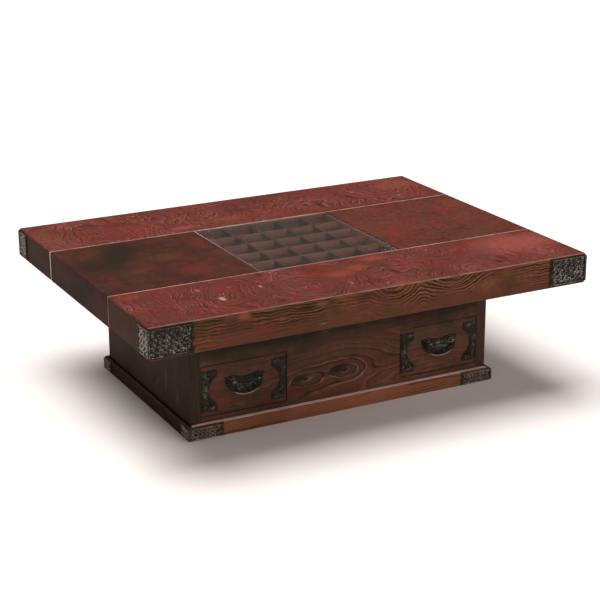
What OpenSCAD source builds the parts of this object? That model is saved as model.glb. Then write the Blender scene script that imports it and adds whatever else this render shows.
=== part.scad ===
// Low table: a thick plank top with a flush glass compartment, on a case with
// two drawers, a plinth and iron corner fittings.
// Millimetres. +X along the table, -Y to the front, +Z up.
// The origin is on the floor, under the middle of the top.

/* [Top] */
// Length of the top, without its corner irons
table_l = 1200; // [1050:10:1400]
// Depth of the top, without its corner irons
table_w = 900; // [820:10:940]
// Height of the top's upper face above the floor
table_h = 374; // [350:1:420]
// Thickness of the top
slab_t = 80; // [72:1:90]
// Width of the middle band, with the glass opening in it
band_w = 400; // [360:5:430]
// Bevel along the outer edges of the top
edge_bevel = 3; // [1:0.5:5]
// Bevel on each side of a joint in the top
joint_bevel = 1.5; // [0.5:0.5:3]
// Thickness of the tongues that join panels to planks
tongue_t = 16; // [10:1:24]
// Reach of the tongues into the planks
tongue_w = 12; // [8:1:20]
// Distance of the tongues from the ends of the panels
tongue_stop = 40; // [20:5:80]
// Slack round a tongue, a half lap or a panel in its groove
joint_fit = 0.2; // [0.1:0.1:0.4]

/* [Glass compartment] */
// Length of the glass opening along the table
glass_l = 400; // [340:10:440]
// Thickness of the glass pane
glass_t = 8; // [5:1:12]
// Gap between the pane's edge and the wood
glass_gap = 1; // [0.5:0.5:3]
// Depth of the pane's face below the top
glass_sink = 0.5; // [0.5:0.5:2]
// Bevel of the pane's ground edge
glass_bevel = 1; // [0.5:0.5:2]
// Gap between the pane and the walls that carry it
seat_gap = 0.3; // [0.3:0.1:0.6]
// Compartments in each direction
cells = 5; // [3:1:5]
// Thickness of the tray walls
tray_wall_t = 10; // [8:1:16]
// Height of the tray walls
tray_wall_h = 56; // [40:1:60]
// Thickness of the tray bottom
tray_bottom_t = 6; // [4:1:8]
// Thickness of the lattice slats
slat_t = 7; // [4:1:10]
// Depth of the slats' upper edges below the tray walls
slat_drop = 2; // [0:0.5:6]

/* [Case] */
// Reach of the top past each end of the case
overhang = 174; // [150:1:200]
// Depth of the case
case_w = 538; // [510:2:600]
// Width of the front stiles
stile_w = 29; // [26:1:40]
// Thickness of the front frame, the centre panel and the drawer fronts
front_t = 20; // [16:1:24]
// Thickness of the case sides
side_t = 22; // [18:1:24]
// Thickness of the case back
back_t = 12; // [8:1:16]
// Thickness of the case bottom and height of the lower front rail
floor_t = 14; // [10:1:18]
// Thickness of the board above the drawers
dust_t = 10; // [6:1:14]
// Thickness of the partitions beside the drawers
partition_t = 18; // [12:1:24]
// Height of the guide strips beside the drawers
guide_h = 30; // [20:2:60]
// Width of the cross rails under the top
top_rail_w = 60; // [40:2:80]
// Thickness of the cross rails under the top
top_rail_t = 25; // [18:1:30]
// Bevel on the case's front edges
case_bevel = 1.5; // [0.5:0.5:3]

/* [Plinth] */
// Height of the plinth
plinth_h = 36; // [30:1:50]
// Step of the plinth beyond the case at its front
plinth_step_front = 14; // [8:1:20]
// Step of the plinth beyond the case at its ends and rear
plinth_step_side = 10; // [6:1:16]
// Width of the plinth rails, seen from above
plinth_rail_w = 45; // [38:1:60]
// Bevel on the plinth's upper edge
plinth_bevel = 3; // [1:0.5:5]
// Legs of the triangular corner blocks
block_leg = 50; // [30:2:80]
// Height of the corner blocks
block_h = 28; // [20:1:29]

/* [Corner irons] */
// Thickness of the iron plates at their rims
iron_t = 2.5; // [2:0.25:4]
// Depth of the field inside the rim
iron_field = 1; // [0.5:0.25:1.5]
// Width of the rim
iron_rim = 3; // [2:0.5:5]
// Length of the top's irons along the front and rear
slab_iron_l = 110; // [80:2:140]
// Length of the top's irons round the ends
slab_iron_w = 60; // [40:2:90]
// Wood left above and below the top's irons
slab_iron_margin = 6.5; // [5:0.5:12]
// Length of the plinth's irons along the front and rear
plinth_iron_l = 92; // [60:2:120]
// Length of the plinth's irons round the ends
plinth_iron_w = 50; // [42:2:70]
// Wood left above the plinth's irons
plinth_iron_top = 5; // [3.5:0.5:8]
// Distance of the plinth's irons from the floor
plinth_iron_foot = 2; // [1:0.5:4]
// Radius of the scallops in an iron's inner edge
scallop_r = 4; // [2:0.5:5]
// Radius of a nail head
nail_head_r = 3.5; // [2.5:0.25:4]
// Height of a nail head
nail_head_h = 1.8; // [1:0.2:2.4]
// Radius of a nail
nail_r = 1.2; // [0.8:0.1:1.6]
// Length of a nail under its head
nail_l = 14; // [8:1:16]
// Distance of a nail's centre from the edges of its iron
nail_inset = 9; // [8:0.5:10]

/* [Drawers] */
// Width of each drawer opening
drawer_w = 234; // [200:2:250]
// Height of each drawer opening
drawer_h = 132; // [110:2:146]
// Gap round each drawer
drawer_gap = 1; // [0.5:0.25:2]
// Gap between a drawer and the floor it slides on
slide_gap = 0.4; // [0.3:0.1:0.8]
// Thickness of the drawer sides and back
drawer_side_t = 10; // [8:1:14]
// Height left free above the drawer sides
drawer_side_drop = 5; // [3:1:12]
// Thickness of the drawer bottom
drawer_bottom_t = 5; // [4:1:8]
// Height of the bottom's groove above the drawer's lower edge
groove_up = 8; // [6:1:12]
// Depth of the bottom's groove
groove_d = 5; // [3:0.5:6]

/* [Handles] */
// Height of the bail's pivots above the middle of the drawer
pivot_up = 15; // [8:1:20]
// Distance of the pivots from the handle plate
pivot_out = 9; // [8:0.5:14]
// Half of the distance between the bail's legs
bail_half = 42; // [36:1:50]
// Length of the bail's straight legs
bail_leg = 8; // [6:1:20]
// Radius of the bail's lower corners, at the bar's middle
bail_corner_r = 18; // [12:1:24]
// Radius of the bail's lower curve, at the bar's middle
bail_sweep_r = 60; // [50:1:62]
// Radius of the bail's bar
bail_r = 2.5; // [2:0.25:3.5]
// Height of the forged beads on the bail above its bar
bead_up = 0.5; // [0.25:0.25:1]
// Radius of the bail's pins
pin_r = 2.2; // [1.6:0.1:2.6]
// Radial clearance of the pins in their eyes
pin_gap = 0.05; // [0.02:0.01:0.1]
// Radius of the eyes that hold the pins
eye_r = 5; // [4.5:0.25:6]
// Length of an eye along its pin
eye_l = 8; // [6:0.5:10]
// Gap between an eye and the bail's leg
eye_gap = 1; // [0.5:0.25:2]
// Length of a pin that shows past its eye
pin_tail = 1.5; // [0.5:0.5:3]
// Radius of a post
post_r = 2.8; // [2:0.2:3.4]
// Slack round a post in its holes
post_fit = 0.1; // [0.05:0.05:0.3]
// Radius of the collar on a post
collar_r = 7.5; // [6:0.5:9]
// Thickness of the collar on a post
collar_t = 2; // [1.5:0.25:3]
// Thickness of the handle plate
plate_t = 2; // [1.5:0.25:3]
// Radius of the handle plate's lower curve
plate_r = 53; // [50:1:60]
// Height of the handle plate's curve centre above the pivots
plate_up = 16; // [6:1:18]
// Height of the handle plate's flat top above the pivots
plate_top = 12; // [9:1:14]
// Height of the dip in the handle plate's top above the pivots
plate_dip = 8; // [2:1:9]
// Radius of the lobes round the posts
lobe_r = 14; // [12:0.5:16]
// Width of a drawer bracket
bracket_w = 40; // [30:1:50]
// Width of a drawer bracket at its waist
bracket_waist = 18; // [12:1:22]
// Height of a drawer bracket's tips
bracket_tip = 18; // [12:1:26]
// Distance of the brackets from the drawer's upper and lower edges
bracket_margin = 12.5; // [6:0.5:20]

/* [Screws] */
// Radius of the screws that hold the top
screw_r = 2.5; // [2:0.25:3]
// Radius of the screws' heads
screw_head_r = 4.5; // [4:0.25:5]
// Height of the screws' heads
screw_head_h = 3; // [2:0.25:4]
// Depth that the screws reach into the top
screw_reach = 30; // [20:1:40]
// Slack round the screws in the cross rails
screw_fit = 0.4; // [0.2:0.1:0.8]
// Distance of the middle screws from the table's centre line
screw_y = 80; // [60:5:110]

/* [Hidden] */
$fn = 48;

// Joint clean-up, so that cuts run past the faces they open
over = 1;

// Levels
slab_z = table_h - slab_t;
case_z = plinth_h;
case_h = slab_z - case_z;
floor_z = case_z + floor_t;
open_top = floor_z + drawer_h;
dust_z = open_top;
glass_z = table_h - glass_sink - glass_t;
tray_top = glass_z - seat_gap;
tray_z = tray_top - tray_wall_h;
slat_h = tray_wall_h - slat_drop;

// Places in the top
plank_w = (table_w - band_w) / 2;
panel_l = (table_l - glass_l) / 2;
tongue_l = panel_l - 2 * tongue_stop;
tongue_z = slab_z + (slab_t - tongue_t) / 2;
tray_in_l = glass_l - 2 * tray_wall_t;
tray_in_w = band_w - 2 * tray_wall_t;
cell_l = (tray_in_l - (cells - 1) * slat_t) / cells;
cell_w = (tray_in_w - (cells - 1) * slat_t) / cells;

// Places in the case
case_l = table_l - 2 * overhang;
case_front = -case_w / 2;
frame_y = case_front + front_t;
case_rear = case_w / 2;
back_y = case_rear - back_t;
side_in = case_l / 2 - side_t;
stile_in = case_l / 2 - stile_w;
centre_half = stile_in - drawer_w;
guide_t = stile_w - side_t;
top_rail_x = (glass_l / 2 + side_in) / 2;
plank_screw_y = (band_w / 2 + case_w / 2 - front_t) / 2;
screw_ys = [-plank_screw_y, -screw_y, screw_y, plank_screw_y];

// Places in the plinth
plinth_front_y = case_front - plinth_step_front;
plinth_rear_y = case_rear + plinth_step_side;
plinth_half = case_l / 2 + plinth_step_side;
plinth_iron_h = plinth_h - plinth_iron_top - plinth_iron_foot;
slab_iron_h = slab_t - 2 * slab_iron_margin;

// Places in the drawers
drawer_x = stile_in - drawer_w / 2;
front_half = drawer_w / 2 - drawer_gap;
front_z = floor_z + drawer_gap;
front_h = drawer_h - 2 * drawer_gap;
box_z = floor_z + slide_gap;
box_h = drawer_h - slide_gap - drawer_side_drop;
box_rear = back_y - slide_gap;
bottom_z = box_z + groove_up;

// Places in the handles
pivot_z = front_z + front_h / 2 + pivot_up;
plate_y = case_front - plate_t;
pivot_y = plate_y - pivot_out;
post_x = bail_half - bail_r - bead_up - eye_gap - eye_l / 2;
bend = asin((bail_half - bail_corner_r) / (bail_sweep_r - bail_corner_r));
sweep_z = -bail_leg + (bail_sweep_r - bail_corner_r) * cos(bend);
bracket_h = front_h - 2 * bracket_margin;

// Colours, as they look from a step away
plank_colour = [0.47, 0.19, 0.16];
band_colour = [0.32, 0.15, 0.13];
case_colour = [0.22, 0.13, 0.11];
front_colour = [0.33, 0.17, 0.13];
inner_colour = [0.62, 0.46, 0.31];
iron_colour = [0.16, 0.17, 0.16];
glass_colour = [0.55, 0.62, 0.58, 0.4];
steel_colour = [0.6, 0.6, 0.58];

// Basic cuts: a square bar on edge, centred on the edge that it bevels
module bevel_x(l, b)
    rotate([45, 0, 0]) cube([l, b * sqrt(2), b * sqrt(2)], center = true);
module bevel_y(l, b)
    rotate([0, 45, 0]) cube([b * sqrt(2), l, b * sqrt(2)], center = true);
module bevel_z(l, b)
    rotate([0, 0, 45]) cube([b * sqrt(2), b * sqrt(2), l], center = true);

// A box between two corners
module span(a, b)
    translate(a) cube(b - a);

// Flat work that stands on the case's front, drawn in X and Z
module on_front(t)
    rotate([90, 0, 0]) linear_extrude(t) children();

// Top
module plank() {
    difference() {
        span([-table_l / 2, -table_w / 2, slab_z], [table_l / 2, -band_w / 2, table_h]);
        for (z = [slab_z, table_h])
            translate([0, -table_w / 2, z]) bevel_x(table_l + 2 * over, edge_bevel);
        translate([0, -band_w / 2, table_h]) bevel_x(table_l + 2 * over, joint_bevel);
        for (x = [-1, 1]) {
            for (z = [slab_z, table_h])
                translate([x * table_l / 2, -(table_w + band_w) / 4, z])
                    bevel_y(plank_w + 2 * over, edge_bevel);
            translate([x * table_l / 2, -band_w / 2, slab_z + slab_t / 2])
                bevel_z(slab_t + 2 * over, joint_bevel);
            translate([x * (glass_l / 2 + panel_l / 2), -band_w / 2, tongue_z + tongue_t / 2])
                cube([tongue_l + 2 * joint_fit, 2 * (tongue_w + joint_fit),
                    tongue_t + 2 * joint_fit], center = true);
        }
    }
}
module front_plank() color(plank_colour) plank();
module rear_plank() color(plank_colour) mirror([0, 1, 0]) plank();

module panel() {
    difference() {
        union() {
            span([-table_l / 2, -band_w / 2, slab_z], [-glass_l / 2, band_w / 2, table_h]);
            span([-table_l / 2 + tongue_stop, -band_w / 2 - tongue_w, tongue_z],
                [-glass_l / 2 - tongue_stop, band_w / 2 + tongue_w, tongue_z + tongue_t]);
        }
        for (y = [-1, 1]) {
            translate([-(table_l + glass_l) / 4, y * band_w / 2, table_h])
                bevel_x(panel_l + 2 * over, joint_bevel);
            translate([-table_l / 2, y * band_w / 2, slab_z + slab_t / 2])
                bevel_z(slab_t + 2 * over, joint_bevel);
        }
        for (z = [slab_z, table_h])
            translate([-table_l / 2, 0, z]) bevel_y(band_w, edge_bevel);
    }
}
module left_panel() color(band_colour) panel();
module right_panel() color(band_colour) mirror([1, 0, 0]) panel();

// Glass compartment
module glass_pane() {
    half_l = glass_l / 2 - glass_gap;
    half_w = band_w / 2 - glass_gap;
    color(glass_colour)
    difference() {
        span([-half_l, -half_w, glass_z], [half_l, half_w, glass_z + glass_t]);
        for (z = [glass_z, glass_z + glass_t]) {
            for (y = [-1, 1])
                translate([0, y * half_w, z]) bevel_x(glass_l, glass_bevel);
            for (x = [-1, 1])
                translate([x * half_l, 0, z]) bevel_y(band_w, glass_bevel);
        }
    }
}

module tray_long_wall()
    color(inner_colour)
    span([-glass_l / 2, -band_w / 2, tray_z],
        [glass_l / 2, -band_w / 2 + tray_wall_t, tray_top]);
module tray_front_wall() tray_long_wall();
module tray_rear_wall() mirror([0, 1, 0]) tray_long_wall();

module tray_short_wall()
    color(inner_colour)
    span([-glass_l / 2, -tray_in_w / 2, tray_z],
        [-glass_l / 2 + tray_wall_t, tray_in_w / 2, tray_top]);
module tray_left_wall() tray_short_wall();
module tray_right_wall() mirror([1, 0, 0]) tray_short_wall();

module tray_bottom()
    color(inner_colour)
    span([-glass_l / 2, -band_w / 2, tray_z - tray_bottom_t],
        [glass_l / 2, band_w / 2, tray_z]);

// Middle of slat i, across a tray of inner size w with cells of size c
function slat_at(i, w, c) = -w / 2 + i * (c + slat_t) - slat_t / 2;

module lattice_long_slats()
    color(inner_colour)
    for (i = [1 : cells - 1])
        difference() {
            translate([0, slat_at(i, tray_in_w, cell_w), tray_z + slat_h / 2])
                cube([tray_in_l, slat_t, slat_h], center = true);
            for (j = [1 : cells - 1])
                translate([slat_at(j, tray_in_l, cell_l), slat_at(i, tray_in_w, cell_w),
                    tray_z + slat_h])
                    cube([slat_t + 2 * joint_fit, slat_t + 2 * over,
                        slat_h + joint_fit], center = true);
        }

module lattice_cross_slats()
    color(inner_colour)
    for (j = [1 : cells - 1])
        difference() {
            translate([slat_at(j, tray_in_l, cell_l), 0, tray_z + slat_h / 2])
                cube([slat_t, tray_in_w, slat_h], center = true);
            for (i = [1 : cells - 1])
                translate([slat_at(j, tray_in_l, cell_l), slat_at(i, tray_in_w, cell_w),
                    tray_z])
                    cube([slat_t + 2 * over, slat_t + 2 * joint_fit,
                        slat_h + joint_fit], center = true);
        }

// Corner irons: two wings round a corner whose wood starts at the origin.
// The long wing runs along +X on the front face, the short one along +Y.
module wing(l, h)
    difference() {
        translate([-iron_t, -iron_t, 0]) cube([l + iron_t, iron_t, h]);
        translate([iron_rim, -iron_t - over, iron_rim])
            cube([l - 2 * iron_rim - scallop_r, iron_field + over, h - 2 * iron_rim]);
        for (z = [h / 4, h * 3 / 4])
            translate([l, over, z]) rotate([90, 0, 0])
                cylinder(r = min(scallop_r, h / 5), h = iron_t + 2 * over);
        for (p = nail_places(l, h))
            translate([p.x, over, p.y]) rotate([90, 0, 0])
                cylinder(r = nail_r + joint_fit, h = iron_t + 2 * over);
    }

module corner_iron(l, w, h) {
    wing(l, h);
    mirror([1, -1, 0]) wing(w, h);
}

// Nails of a wing of length l and height h: one row on a low iron, else two.
// Those by the corner keep clear of the ones driven in from the other face.
function nail_places(l, h) = [
    for (x = [nail_l + 2 * nail_r, l - nail_inset - scallop_r])
        for (z = h > 4 * nail_inset ? [nail_inset, h - nail_inset] : [h / 2]) [x, z]
];

// A nail along Z: its head rises from z = 0 and its shank goes down
module nail() {
    dome_r = (pow(nail_head_r, 2) + pow(nail_head_h, 2)) / (2 * nail_head_h);
    intersection() {
        translate([0, 0, nail_head_h - dome_r]) sphere(r = dome_r);
        cylinder(r = nail_head_r + over, h = nail_head_h + over);
    }
    translate([0, 0, -nail_l]) cylinder(r = nail_r, h = nail_l + nail_head_h / 2);
}

module wing_nails(l, h)
    for (p = nail_places(l, h))
        translate([p.x, iron_field - iron_t, p.y]) rotate([90, 0, 0]) nail();

module corner_nails(l, w, h) {
    wing_nails(l, h);
    mirror([1, -1, 0]) wing_nails(w, h);
}

// Puts a child at the front left corner of the top or of the plinth.
// The other corners are its mirror images.
module at_slab_corner(sx, sy)
    mirror([sx > 0 ? 1 : 0, 0, 0]) mirror([0, sy > 0 ? 1 : 0, 0])
        translate([-table_l / 2, -table_w / 2, slab_z + slab_iron_margin])
            children();
module at_plinth_corner(sx, sy)
    mirror([sx > 0 ? 1 : 0, 0, 0])
        translate([-plinth_half, sy > 0 ? plinth_rear_y : plinth_front_y, plinth_iron_foot])
            mirror([0, sy > 0 ? 1 : 0, 0]) children();

module slab_iron(sx, sy)
    color(iron_colour)
    at_slab_corner(sx, sy) corner_iron(slab_iron_l, slab_iron_w, slab_iron_h);
module plinth_iron(sx, sy)
    color(iron_colour)
    at_plinth_corner(sx, sy) corner_iron(plinth_iron_l, plinth_iron_w, plinth_iron_h);

module slab_iron_front_left() slab_iron(-1, -1);
module slab_iron_front_right() slab_iron(1, -1);
module slab_iron_rear_left() slab_iron(-1, 1);
module slab_iron_rear_right() slab_iron(1, 1);
module plinth_iron_front_left() plinth_iron(-1, -1);
module plinth_iron_front_right() plinth_iron(1, -1);
module plinth_iron_rear_left() plinth_iron(-1, 1);
module plinth_iron_rear_right() plinth_iron(1, 1);

module iron_nails()
    color(iron_colour)
    for (sx = [-1, 1])
        for (sy = [-1, 1]) {
            at_slab_corner(sx, sy) corner_nails(slab_iron_l, slab_iron_w, slab_iron_h);
            at_plinth_corner(sx, sy)
                corner_nails(plinth_iron_l, plinth_iron_w, plinth_iron_h);
        }

// Case
module stile()
    difference() {
        span([-case_l / 2, case_front, case_z], [-stile_in, frame_y, slab_z]);
        translate([-case_l / 2, case_front, case_z + case_h / 2])
            bevel_z(case_h + 2 * over, case_bevel);
    }
module left_stile() color(case_colour) stile();
module right_stile() color(case_colour) mirror([1, 0, 0]) stile();

module side()
    span([-case_l / 2, frame_y, case_z], [-side_in, case_rear, slab_z]);
module case_left_side() color(case_colour) side();
module case_right_side() color(case_colour) mirror([1, 0, 0]) side();

module case_back()
    color(case_colour)
    span([-side_in, back_y, case_z], [side_in, case_rear, slab_z]);
module case_bottom()
    color(inner_colour)
    span([-side_in, frame_y, case_z], [side_in, back_y, floor_z]);
module dust_board()
    color(inner_colour)
    span([-side_in, frame_y, dust_z], [side_in, back_y, dust_z + dust_t]);
module upper_front_board()
    color(front_colour)
    span([-stile_in, case_front, open_top], [stile_in, frame_y, slab_z]);
module lower_front_rail()
    color(front_colour)
    span([-stile_in, case_front, case_z], [stile_in, frame_y, floor_z]);
module centre_front_panel()
    color(front_colour)
    span([-centre_half, case_front, floor_z], [centre_half, frame_y, open_top]);

module partition()
    color(inner_colour)
    span([-centre_half, frame_y, floor_z], [-centre_half + partition_t, back_y, dust_z]);
module left_partition() partition();
module right_partition() mirror([1, 0, 0]) partition();

module drawer_guides()
    color(inner_colour)
    for (m = [0, 1])
        mirror([m, 0, 0])
            span([-side_in, frame_y, floor_z],
                [-side_in + guide_t, back_y, floor_z + guide_h]);

module top_rail()
    difference() {
        span([-top_rail_x - top_rail_w / 2, frame_y, slab_z - top_rail_t],
            [-top_rail_x + top_rail_w / 2, back_y, slab_z]);
        for (y = screw_ys)
            translate([-top_rail_x, y, slab_z - top_rail_t - over])
                cylinder(r = screw_r + screw_fit, h = top_rail_t + 2 * over);
    }
module left_top_rail() color(inner_colour) top_rail();
module right_top_rail() color(inner_colour) mirror([1, 0, 0]) top_rail();

module top_screws()
    color(steel_colour)
    for (sx = [-1, 1])
        for (y = screw_ys)
            translate([sx * top_rail_x, y, slab_z - top_rail_t]) {
                translate([0, 0, -screw_head_h])
                    cylinder(r = screw_head_r, h = screw_head_h);
                translate([0, 0, -screw_head_h / 2])
                    cylinder(r = screw_r, h = screw_head_h / 2 + top_rail_t + screw_reach);
            }

// Plinth: four rails with mitred corners, bevelled along the outer top edge
module plinth_ring(outline)
    linear_extrude(plinth_h) polygon(outline);

module plinth_long_rail(y, sy) {
    inner = plinth_half - plinth_rail_w;
    difference() {
        plinth_ring([[-plinth_half, y], [plinth_half, y],
            [inner, y - sy * plinth_rail_w], [-inner, y - sy * plinth_rail_w]]);
        translate([0, y, plinth_h]) bevel_x(2 * plinth_half + 2 * over, plinth_bevel);
    }
}
module plinth_front() color(front_colour) plinth_long_rail(plinth_front_y, -1);
module plinth_rear() color(front_colour) plinth_long_rail(plinth_rear_y, 1);

module plinth_short_rail() {
    inner = -plinth_half + plinth_rail_w;
    difference() {
        plinth_ring([[-plinth_half, plinth_front_y],
            [inner, plinth_front_y + plinth_rail_w],
            [inner, plinth_rear_y - plinth_rail_w], [-plinth_half, plinth_rear_y]]);
        translate([-plinth_half, (plinth_front_y + plinth_rear_y) / 2, plinth_h])
            bevel_y(plinth_rear_y - plinth_front_y + 2 * over, plinth_bevel);
    }
}
module plinth_left() color(case_colour) plinth_short_rail();
module plinth_right() color(case_colour) mirror([1, 0, 0]) plinth_short_rail();

module plinth_blocks() {
    x = plinth_half - plinth_rail_w;
    color(inner_colour)
    for (m = [0, 1])
        mirror([m, 0, 0])
            translate([0, 0, plinth_h - block_h])
                linear_extrude(block_h) {
                    front = plinth_front_y + plinth_rail_w;
                    rear = plinth_rear_y - plinth_rail_w;
                    polygon([[-x, front], [-x + block_leg, front], [-x, front + block_leg]]);
                    polygon([[-x, rear], [-x, rear - block_leg], [-x + block_leg, rear]]);
                }
}

// Drawers. The left one is drawn round its own middle; the right one is its
// mirror image.
module drawer_at(s)
    mirror([s > 0 ? 1 : 0, 0, 0]) translate([-drawer_x, 0, 0]) children();

module drawer_front(s)
    color(front_colour)
    drawer_at(s)
    difference() {
        span([-front_half, case_front, front_z], [front_half, frame_y, front_z + front_h]);
        for (z = [front_z, front_z + front_h])
            translate([0, case_front, z]) bevel_x(drawer_w, case_bevel);
        for (x = [-1, 1]) {
            translate([x * front_half, case_front, front_z + front_h / 2])
                bevel_z(drawer_h, case_bevel);
            translate([x * post_x, frame_y + over, pivot_z]) rotate([90, 0, 0])
                cylinder(r = post_r + post_fit, h = front_t + 2 * over);
        }
        span([-front_half + drawer_side_t - groove_d, frame_y - groove_d, bottom_z],
            [front_half - drawer_side_t + groove_d, frame_y + over,
                bottom_z + drawer_bottom_t + 2 * joint_fit]);
    }

module drawer_side(s, m)
    color(inner_colour)
    drawer_at(s) mirror([m, 0, 0])
    difference() {
        span([-front_half, frame_y, box_z], [-front_half + drawer_side_t, box_rear, box_z + box_h]);
        span([-front_half + drawer_side_t - groove_d, frame_y - over, bottom_z],
            [-front_half + drawer_side_t + over, box_rear + over,
                bottom_z + drawer_bottom_t + 2 * joint_fit]);
    }

module drawer_back(s)
    color(inner_colour)
    drawer_at(s)
    span([-front_half + drawer_side_t, box_rear - drawer_side_t,
            bottom_z + drawer_bottom_t + 2 * joint_fit],
        [front_half - drawer_side_t, box_rear, box_z + box_h]);

module drawer_bottom(s)
    color(inner_colour)
    drawer_at(s)
    span([-front_half + drawer_side_t - groove_d + joint_fit,
            frame_y - groove_d + joint_fit, bottom_z + joint_fit],
        [front_half - drawer_side_t + groove_d - joint_fit, box_rear,
            bottom_z + joint_fit + drawer_bottom_t]);

// A bracket's waist is cut by one round that ends at the two tips
module bracket_outline() {
    deep = bracket_w - bracket_waist;
    tall = bracket_h / 2 - bracket_tip;
    cut_r = (pow(deep, 2) + pow(tall, 2)) / (2 * deep);
    difference() {
        square([bracket_w, bracket_h]);
        translate([bracket_waist + cut_r, bracket_h / 2]) circle(r = cut_r);
    }
}
module drawer_brackets(s)
    color(iron_colour)
    drawer_at(s)
    for (m = [0, 1])
        mirror([m, 0, 0])
            translate([-front_half + case_bevel, case_front, front_z + bracket_margin])
                on_front(plate_t) bracket_outline();

module plate_outline() {
    cut_r = 2 * post_x;
    difference() {
        union() {
            intersection() {
                translate([0, plate_up]) circle(r = plate_r);
                translate([-plate_r, -2 * plate_r]) square([2 * plate_r, 2 * plate_r + plate_top]);
            }
            for (x = [-1, 1])
                translate([x * post_x, 0]) circle(r = lobe_r);
        }
        translate([0, plate_dip + cut_r]) circle(r = cut_r);
        for (x = [-1, 1])
            translate([x * post_x, 0]) circle(r = post_r + post_fit);
    }
}
module handle_plate(s)
    color(iron_colour)
    drawer_at(s) translate([0, case_front, pivot_z]) on_front(plate_t) plate_outline();

// Each post is one forged piece: eye, collar, shank and the head inside
module handle_posts(s)
    color(iron_colour)
    drawer_at(s)
    for (x = [-1, 1])
        difference() {
            union() {
                translate([x * post_x - eye_l / 2, pivot_y, pivot_z]) rotate([0, 90, 0])
                    cylinder(r = eye_r, h = eye_l);
                translate([x * post_x, frame_y + over, pivot_z]) rotate([90, 0, 0])
                    cylinder(r = post_r, h = frame_y + over - pivot_y);
                translate([x * post_x, plate_y, pivot_z]) rotate([90, 0, 0])
                    cylinder(r = collar_r, h = collar_t);
                translate([x * post_x, frame_y + collar_t, pivot_z]) rotate([90, 0, 0])
                    cylinder(r = collar_r, h = collar_t);
            }
            translate([x * post_x - eye_l, pivot_y, pivot_z]) rotate([0, 90, 0])
                cylinder(r = pin_r + pin_gap, h = 2 * eye_l);
        }

// The bail hangs from its pins: straight legs, corners and one wide sweep
module bail_arc(r, from, sweep)
    rotate([90, 0, 0]) rotate([0, 0, from])
        rotate_extrude(angle = sweep) translate([r, 0]) circle(r = bail_r);

module bail(s) {
    pin_l = bail_r + bead_up + eye_gap + eye_l + pin_tail;
    bead_r = bail_r + bead_up;
    color(iron_colour)
    drawer_at(s) translate([0, pivot_y, pivot_z]) {
        translate([0, 0, sweep_z]) bail_arc(bail_sweep_r, -90 - bend, 2 * bend);
        for (m = [0, 1])
            mirror([m, 0, 0]) {
                translate([bail_half, 0, -bail_leg]) {
                    cylinder(r = bail_r, h = bail_leg);
                    sphere(r = bead_r);
                }
                translate([bail_half - bail_corner_r, 0, -bail_leg])
                    bail_arc(bail_corner_r, bend - 90, 90 - bend);
                translate([bail_sweep_r * sin(bend), 0, sweep_z - bail_sweep_r * cos(bend)])
                    sphere(r = bead_r);
                translate([bail_half, 0, 0]) sphere(r = bead_r);
                translate([bail_half - pin_l, 0, 0]) rotate([0, 90, 0])
                    cylinder(r = pin_r, h = pin_l);
            }
    }
}

module left_drawer_front() drawer_front(-1);
module left_drawer_outer_side() drawer_side(-1, 0);
module left_drawer_inner_side() drawer_side(-1, 1);
module left_drawer_back() drawer_back(-1);
module left_drawer_bottom() drawer_bottom(-1);
module left_drawer_brackets() drawer_brackets(-1);
module left_handle_plate() handle_plate(-1);
module left_handle_posts() handle_posts(-1);
module left_bail() bail(-1);
module right_drawer_front() drawer_front(1);
module right_drawer_outer_side() drawer_side(1, 0);
module right_drawer_inner_side() drawer_side(1, 1);
module right_drawer_back() drawer_back(1);
module right_drawer_bottom() drawer_bottom(1);
module right_drawer_brackets() drawer_brackets(1);
module right_handle_plate() handle_plate(1);
module right_handle_posts() handle_posts(1);
module right_bail() bail(1);

front_plank();
rear_plank();
left_panel();
right_panel();
slab_iron_front_left();
slab_iron_front_right();
slab_iron_rear_left();
slab_iron_rear_right();
glass_pane();
tray_front_wall();
tray_rear_wall();
tray_left_wall();
tray_right_wall();
tray_bottom();
lattice_long_slats();
lattice_cross_slats();
left_stile();
right_stile();
case_left_side();
case_right_side();
case_back();
case_bottom();
upper_front_board();
lower_front_rail();
centre_front_panel();
left_partition();
right_partition();
dust_board();
left_top_rail();
right_top_rail();
top_screws();
drawer_guides();
plinth_front();
plinth_rear();
plinth_left();
plinth_right();
plinth_blocks();
plinth_iron_front_left();
plinth_iron_front_right();
plinth_iron_rear_left();
plinth_iron_rear_right();
iron_nails();
left_drawer_front();
left_drawer_outer_side();
left_drawer_inner_side();
left_drawer_back();
left_drawer_bottom();
left_drawer_brackets();
left_handle_plate();
left_handle_posts();
left_bail();
right_drawer_front();
right_drawer_outer_side();
right_drawer_inner_side();
right_drawer_back();
right_drawer_bottom();
right_drawer_brackets();
right_handle_plate();
right_handle_posts();
right_bail();
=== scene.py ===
"""Looks of the low table: figured lacquered wood, blackened relief irons, glass over a lattice.

Metres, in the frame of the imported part: +X along the table, -Y to the front, +Z up. The relief on
the irons is drawn in millimetres. Colours are linear red, green and blue.
"""
import math
import random

import bmesh
import bpy
from mathutils import Matrix, Vector


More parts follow.
